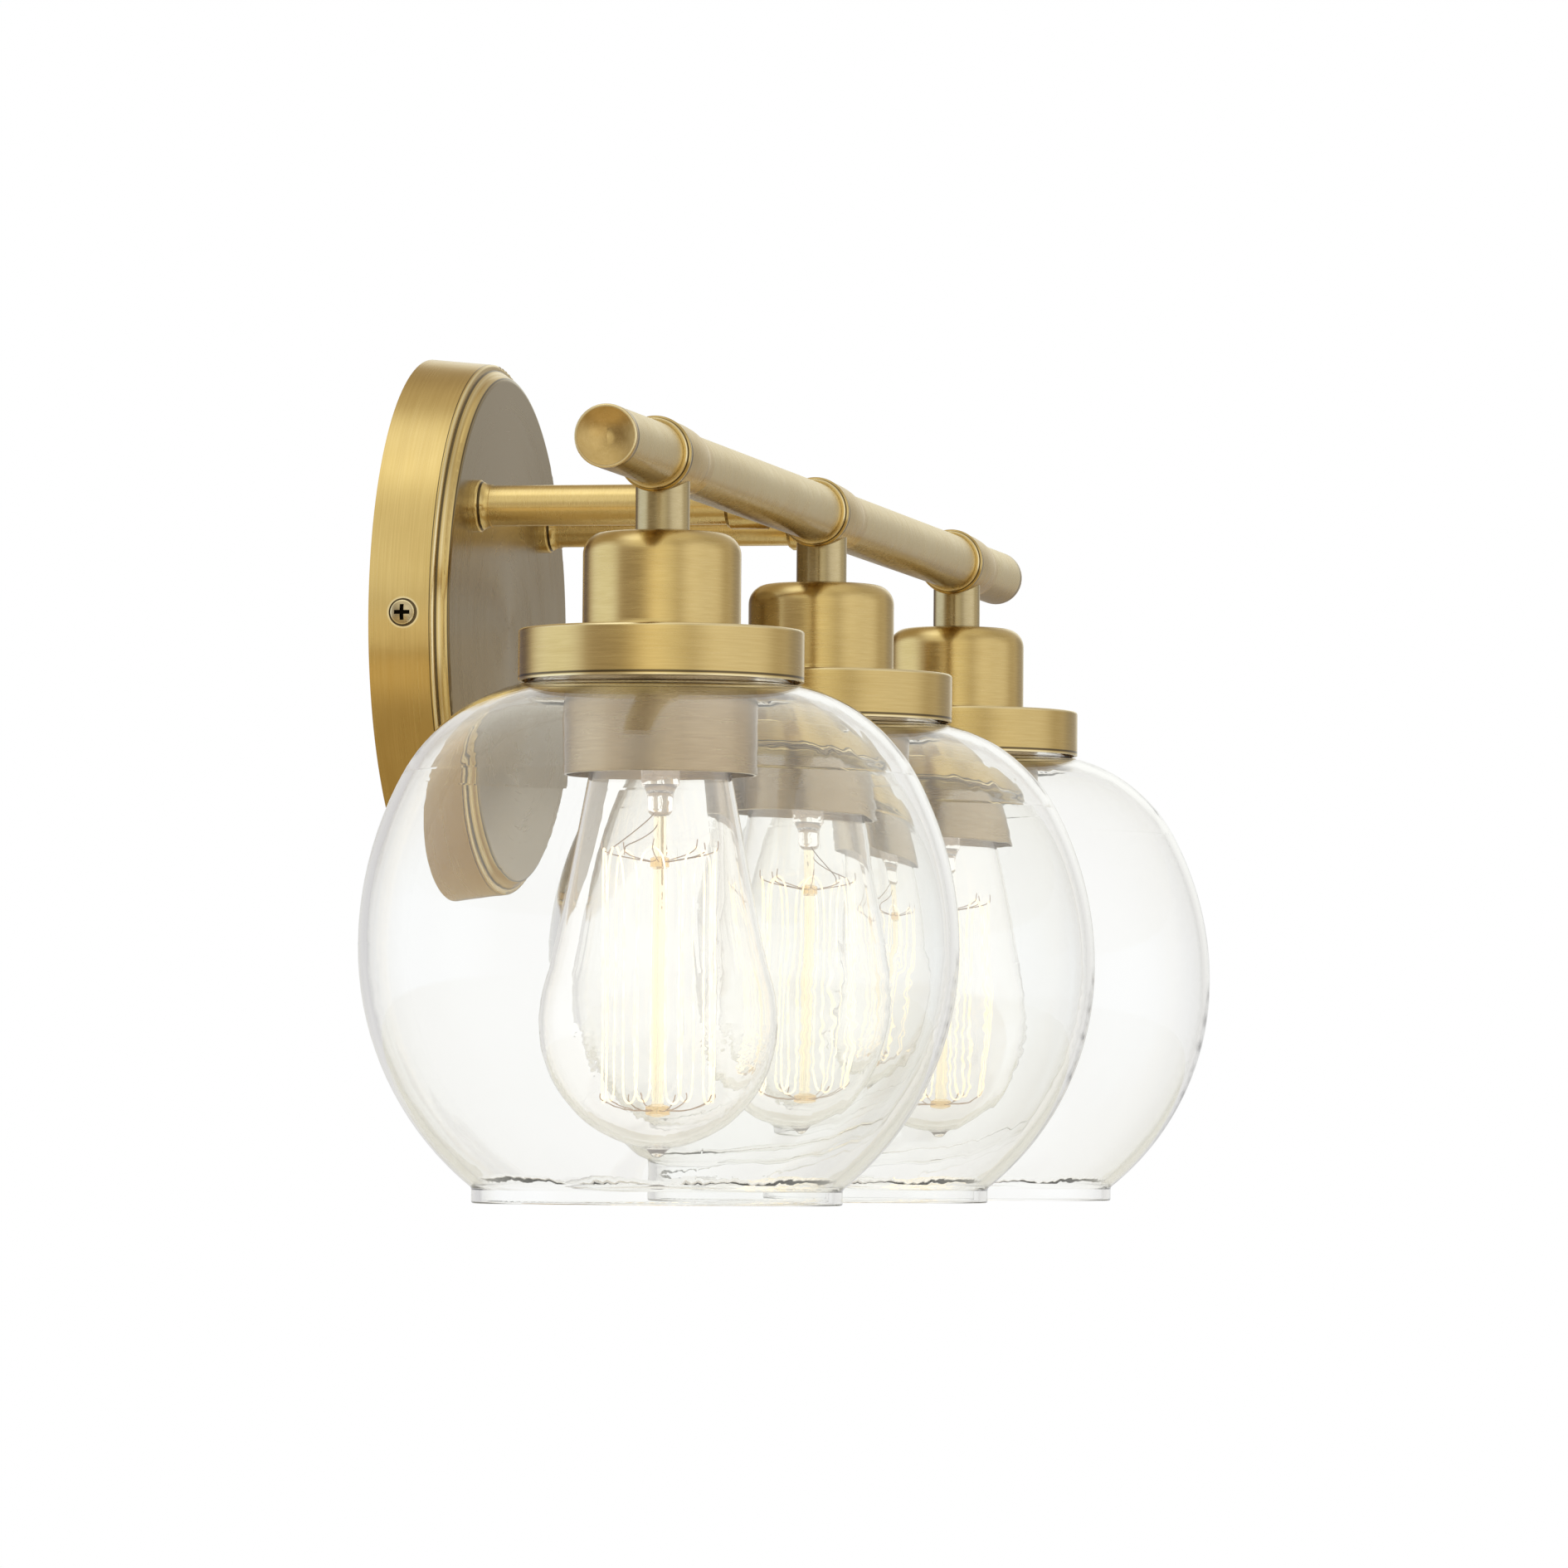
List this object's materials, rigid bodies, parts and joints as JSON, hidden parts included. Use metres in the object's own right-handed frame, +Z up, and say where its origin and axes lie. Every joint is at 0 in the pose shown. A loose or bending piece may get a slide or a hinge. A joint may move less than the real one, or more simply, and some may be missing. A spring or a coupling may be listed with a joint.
{
  "type": "vanity light bar",
  "caption": "Wall vanity light: round canopy, two arms, horizontal bamboo-style bar and hanging clear glass globes, open below, around pear-shaped filament bulbs.",
  "frame": {"origin": "centre of the canopy on the wall plane, midway between the wall bracket's slots", "axes": "+X along the bar to the right as seen from the room, +Y into the wall, +Z up"},
  "size_m": [0.5544, 0.1858, 0.2336],
  "materials": {
    "brushed_brass": "satin brushed, circumferential grain",
    "clear_globe_glass": "clear, fire-polished",
    "clear_bulb_glass": "clear, thin",
    "mount_glass": "clear pressed stem",
    "porcelain": "white, glazed",
    "nickel_shell": "plated, satin",
    "lead_brass": "bright, turned",
    "black_glass": "black vitreous",
    "glowing_filament": "incandescent",
    "support_wire": "drawn wire",
    "zinc_steel": "zinc plated",
    "screw_brass": "antique plated",
    "green_screw": "green passivated",
    "gasket_rubber": "matt silicone",
    "connector_plastic": "moulded",
    "hot_insulation": "extruded",
    "neutral_insulation": "extruded",
    "bare_copper": "drawn, bare"
  },
  "bodies": {
    "fixture": {"wall_bracket": "zinc_steel", "canopy": "brushed_brass", "ground_screw": "green_screw", "arm_left": "brushed_brass", "arm_right": "brushed_brass", "arm_feet": "brushed_brass", "arm_ferrules": "brushed_brass", "arm_nipples": "zinc_steel", "arm_lock_nuts": "zinc_steel", "bar_tube": "brushed_brass", "bar_end_caps": "brushed_brass", "lampholders": "porcelain", "screw_shells": "lead_brass", "centre_contacts": "lead_brass", "globe_gaskets": "gasket_rubber", "retaining_rings": "zinc_steel", "stem_nipples": "zinc_steel", "stem_lock_nuts": "zinc_steel", "wire_connectors": "connector_plastic", "hot_leads": "hot_insulation", "neutral_leads": "neutral_insulation", "ground_wire": "bare_copper", "knuckle_1": "brushed_brass", "stem_1": "brushed_brass", "socket_cup_1": "brushed_brass", "collar_1": "brushed_brass", "retaining_sleeve_1": "brushed_brass", "globe_1": "clear_globe_glass", "knuckle_2": "brushed_brass", "stem_2": "brushed_brass", "socket_cup_2": "brushed_brass", "collar_2": "brushed_brass", "retaining_sleeve_2": "brushed_brass", "globe_2": "clear_globe_glass", "knuckle_3": "brushed_brass", "stem_3": "brushed_brass", "socket_cup_3": "brushed_brass", "collar_3": "brushed_brass", "retaining_sleeve_3": "brushed_brass", "globe_3": "clear_globe_glass"},
    "bulb_1": {"bulb_glass_1": "clear_bulb_glass", "bulb_cap_1": "nickel_shell", "bulb_insulator_1": "black_glass", "bulb_mount_1": "mount_glass", "bulb_filament_1": "glowing_filament", "bulb_supports_1": "support_wire"},
    "bulb_2": {"bulb_glass_2": "clear_bulb_glass", "bulb_cap_2": "nickel_shell", "bulb_insulator_2": "black_glass", "bulb_mount_2": "mount_glass", "bulb_filament_2": "glowing_filament", "bulb_supports_2": "support_wire"},
    "bulb_3": {"bulb_glass_3": "clear_bulb_glass", "bulb_cap_3": "nickel_shell", "bulb_insulator_3": "black_glass", "bulb_mount_3": "mount_glass", "bulb_filament_3": "glowing_filament", "bulb_supports_3": "support_wire"},
    "side_screw_left": {"canopy_screw_left": "screw_brass"},
    "side_screw_right": {"canopy_screw_right": "screw_brass"}
  },
  "joints": [
    {"name": "bulb_1_withdraw", "type": "slide", "parent": "fixture", "child": "bulb_1", "axis": [0, 0, -1], "range_m": [0, 0.165]},
    {"name": "bulb_2_withdraw", "type": "slide", "parent": "fixture", "child": "bulb_2", "axis": [0, 0, -1], "range_m": [0, 0.165]},
    {"name": "bulb_3_withdraw", "type": "slide", "parent": "fixture", "child": "bulb_3", "axis": [0, 0, -1], "range_m": [0, 0.165]},
    {"name": "side_screw_left_undo", "type": "slide", "parent": "fixture", "child": "side_screw_left", "axis": [-1, 0, 0], "range_m": [0, 0.012]},
    {"name": "side_screw_right_undo", "type": "slide", "parent": "fixture", "child": "side_screw_right", "axis": [1, 0, 0], "range_m": [0, 0.012]}
  ]
}
